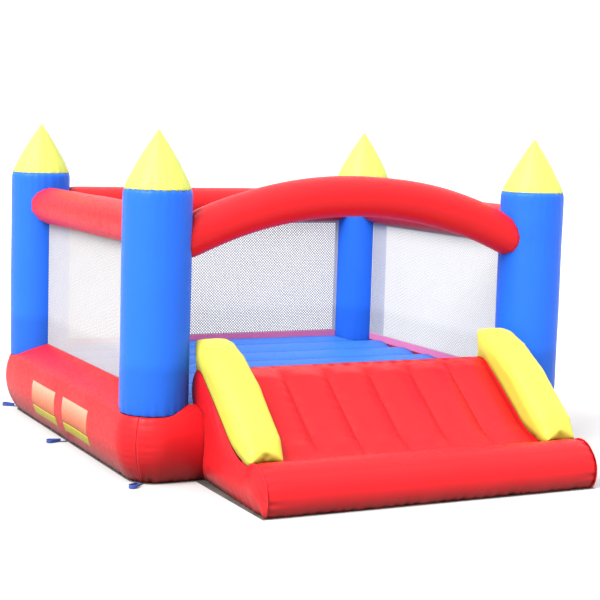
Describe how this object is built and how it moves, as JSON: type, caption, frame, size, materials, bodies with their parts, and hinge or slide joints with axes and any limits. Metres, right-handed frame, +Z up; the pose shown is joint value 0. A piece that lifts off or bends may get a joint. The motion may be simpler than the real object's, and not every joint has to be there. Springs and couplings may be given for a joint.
{
  "type": "inflatable bounce house",
  "caption": "Open-topped inflatable bounce house: padded base and channelled floor, corner posts with cone tops, rails, net walls, front arch and a slide between bumpers.",
  "frame": {"origin": "on the ground, midway between the four post axes", "axes": "+Z up, +Y towards the back wall, away from the slide, +X to the right as seen from the slide"},
  "size_m": [3.329, 4.2631, 2.13],
  "materials": {
    "ground_sheet_fabric": "matt coated Oxford cloth",
    "red_fabric": "satin coated Oxford cloth",
    "floor_fabric": "satin coated Oxford cloth",
    "baffle_fabric": "plain coated cloth",
    "yellow_fabric": "satin coated Oxford cloth",
    "blue_fabric": "satin coated Oxford cloth",
    "net_mesh": "woven polyester netting",
    "white_tape": "folded binding tape",
    "blue_webbing": "woven webbing",
    "black_webbing": "woven webbing",
    "peach_patch": "smooth blank panel",
    "yellow_patch": "smooth blank panel"
  },
  "bodies": {
    "house": {"ground_sheet": "ground_sheet_fabric", "left_base_wall": "red_fabric", "right_base_wall": "red_fabric", "back_base_wall": "red_fabric", "front_base_wall": "red_fabric", "slide_rear_panel": "red_fabric", "slide_bed": "red_fabric", "slide_left_cheek": "red_fabric", "slide_right_cheek": "red_fabric", "slide_front_bolster": "red_fabric", "front_arch": "red_fabric", "left_rail": "red_fabric", "right_rail": "red_fabric", "back_rail": "red_fabric", "inlet_collar": "red_fabric", "outlet_collar": "red_fabric", "bounce_floor": "floor_fabric", "floor_baffle_1": "baffle_fabric", "floor_baffle_2": "baffle_fabric", "floor_baffle_3": "baffle_fabric", "floor_baffle_4": "baffle_fabric", "floor_baffle_5": "baffle_fabric", "floor_baffle_6": "baffle_fabric", "slide_baffle_1": "baffle_fabric", "slide_baffle_2": "baffle_fabric", "slide_baffle_3": "baffle_fabric", "slide_baffle_4": "baffle_fabric", "slide_baffle_5": "baffle_fabric", "left_bumper": "yellow_fabric", "right_bumper": "yellow_fabric", "front_left_cone": "yellow_fabric", "front_right_cone": "yellow_fabric", "back_left_cone": "yellow_fabric", "back_right_cone": "yellow_fabric", "front_left_post": "blue_fabric", "front_right_post": "blue_fabric", "back_left_post": "blue_fabric", "back_right_post": "blue_fabric", "left_net": "net_mesh", "right_net": "net_mesh", "back_net": "net_mesh", "left_net_binding": "white_tape", "right_net_binding": "white_tape", "back_net_binding": "white_tape", "front_patch_upper": "peach_patch", "rear_patch_upper": "peach_patch", "front_patch_lower": "yellow_patch", "rear_patch_lower": "yellow_patch"},
    "front_left_anchor": {"front_left_anchor_loop": "blue_webbing"},
    "front_right_anchor": {"front_right_anchor_loop": "blue_webbing"},
    "back_left_anchor": {"back_left_anchor_loop": "blue_webbing"},
    "back_right_anchor": {"back_right_anchor_loop": "blue_webbing"},
    "left_anchor": {"left_anchor_loop": "blue_webbing"},
    "right_anchor": {"right_anchor_loop": "blue_webbing"},
    "inlet_sleeve": {"inlet_sleeve": "red_fabric", "inlet_strap": "black_webbing"},
    "outlet_sleeve": {"outlet_sleeve": "red_fabric", "outlet_strap": "black_webbing"}
  },
  "joints": [
    {"name": "front_left_anchor_lift", "type": "hinge", "parent": "house", "child": "front_left_anchor", "pos_m": [-1.47149, -1.31649, 0.0025], "axis": [-0.7071, 0.7071, 0], "range_deg": [0, 25]},
    {"name": "front_right_anchor_lift", "type": "hinge", "parent": "house", "child": "front_right_anchor", "pos_m": [1.47149, -1.31649, 0.0025], "axis": [-0.7071, -0.7071, 0], "range_deg": [0, 25]},
    {"name": "back_left_anchor_lift", "type": "hinge", "parent": "house", "child": "back_left_anchor", "pos_m": [-1.47149, 1.31649, 0.0025], "axis": [0.7071, 0.7071, 0], "range_deg": [0, 25]},
    {"name": "back_right_anchor_lift", "type": "hinge", "parent": "house", "child": "back_right_anchor", "pos_m": [1.47149, 1.31649, 0.0025], "axis": [0.7071, -0.7071, 0], "range_deg": [0, 25]},
    {"name": "left_anchor_lift", "type": "hinge", "parent": "house", "child": "left_anchor", "pos_m": [-1.5185, 0, 0.0025], "axis": [0, 1, 0], "range_deg": [0, 25]},
    {"name": "right_anchor_lift", "type": "hinge", "parent": "house", "child": "right_anchor", "pos_m": [1.5185, 0, 0.0025], "axis": [0, -1, 0], "range_deg": [0, 25]},
    {"name": "inlet_sleeve_lift", "type": "hinge", "parent": "house", "child": "inlet_sleeve", "pos_m": [0.7, 1.4913, 0.189], "axis": [1, 0, 0], "range_deg": [0, 40]},
    {"name": "outlet_sleeve_lift", "type": "hinge", "parent": "house", "child": "outlet_sleeve", "pos_m": [-0.7, 1.4913, 0.164], "axis": [1, 0, 0], "range_deg": [0, 40]}
  ]
}
